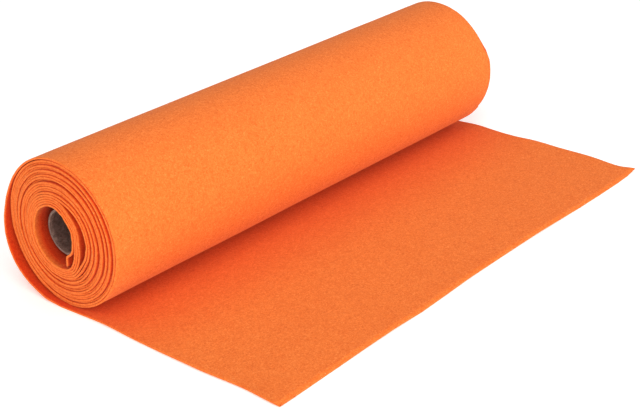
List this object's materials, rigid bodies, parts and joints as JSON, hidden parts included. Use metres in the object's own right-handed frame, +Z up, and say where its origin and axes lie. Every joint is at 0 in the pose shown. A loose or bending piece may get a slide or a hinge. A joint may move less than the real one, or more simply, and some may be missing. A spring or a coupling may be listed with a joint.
{
  "type": "roll of craft felt on a cardboard tube",
  "caption": "Length of orange craft felt wound on a cardboard tube, resting on a surface with its last stretch laid out flat in front of it.",
  "frame": {"origin": "under the middle of the whole part's box, on the surface that it rests on", "axes": "+X along the roll to its far end, +Z up, and the loose end of the felt lies towards -Y"},
  "size_m": [0.454, 0.2558, 0.1108],
  "materials": {
    "felt": "matte needled felt, orange",
    "cardboard": "bare spiral-wound grey-brown cardboard"
  },
  "bodies": {
    "root": {"felt": "felt", "core_tube": "cardboard"}
  },
  "joints": []
}
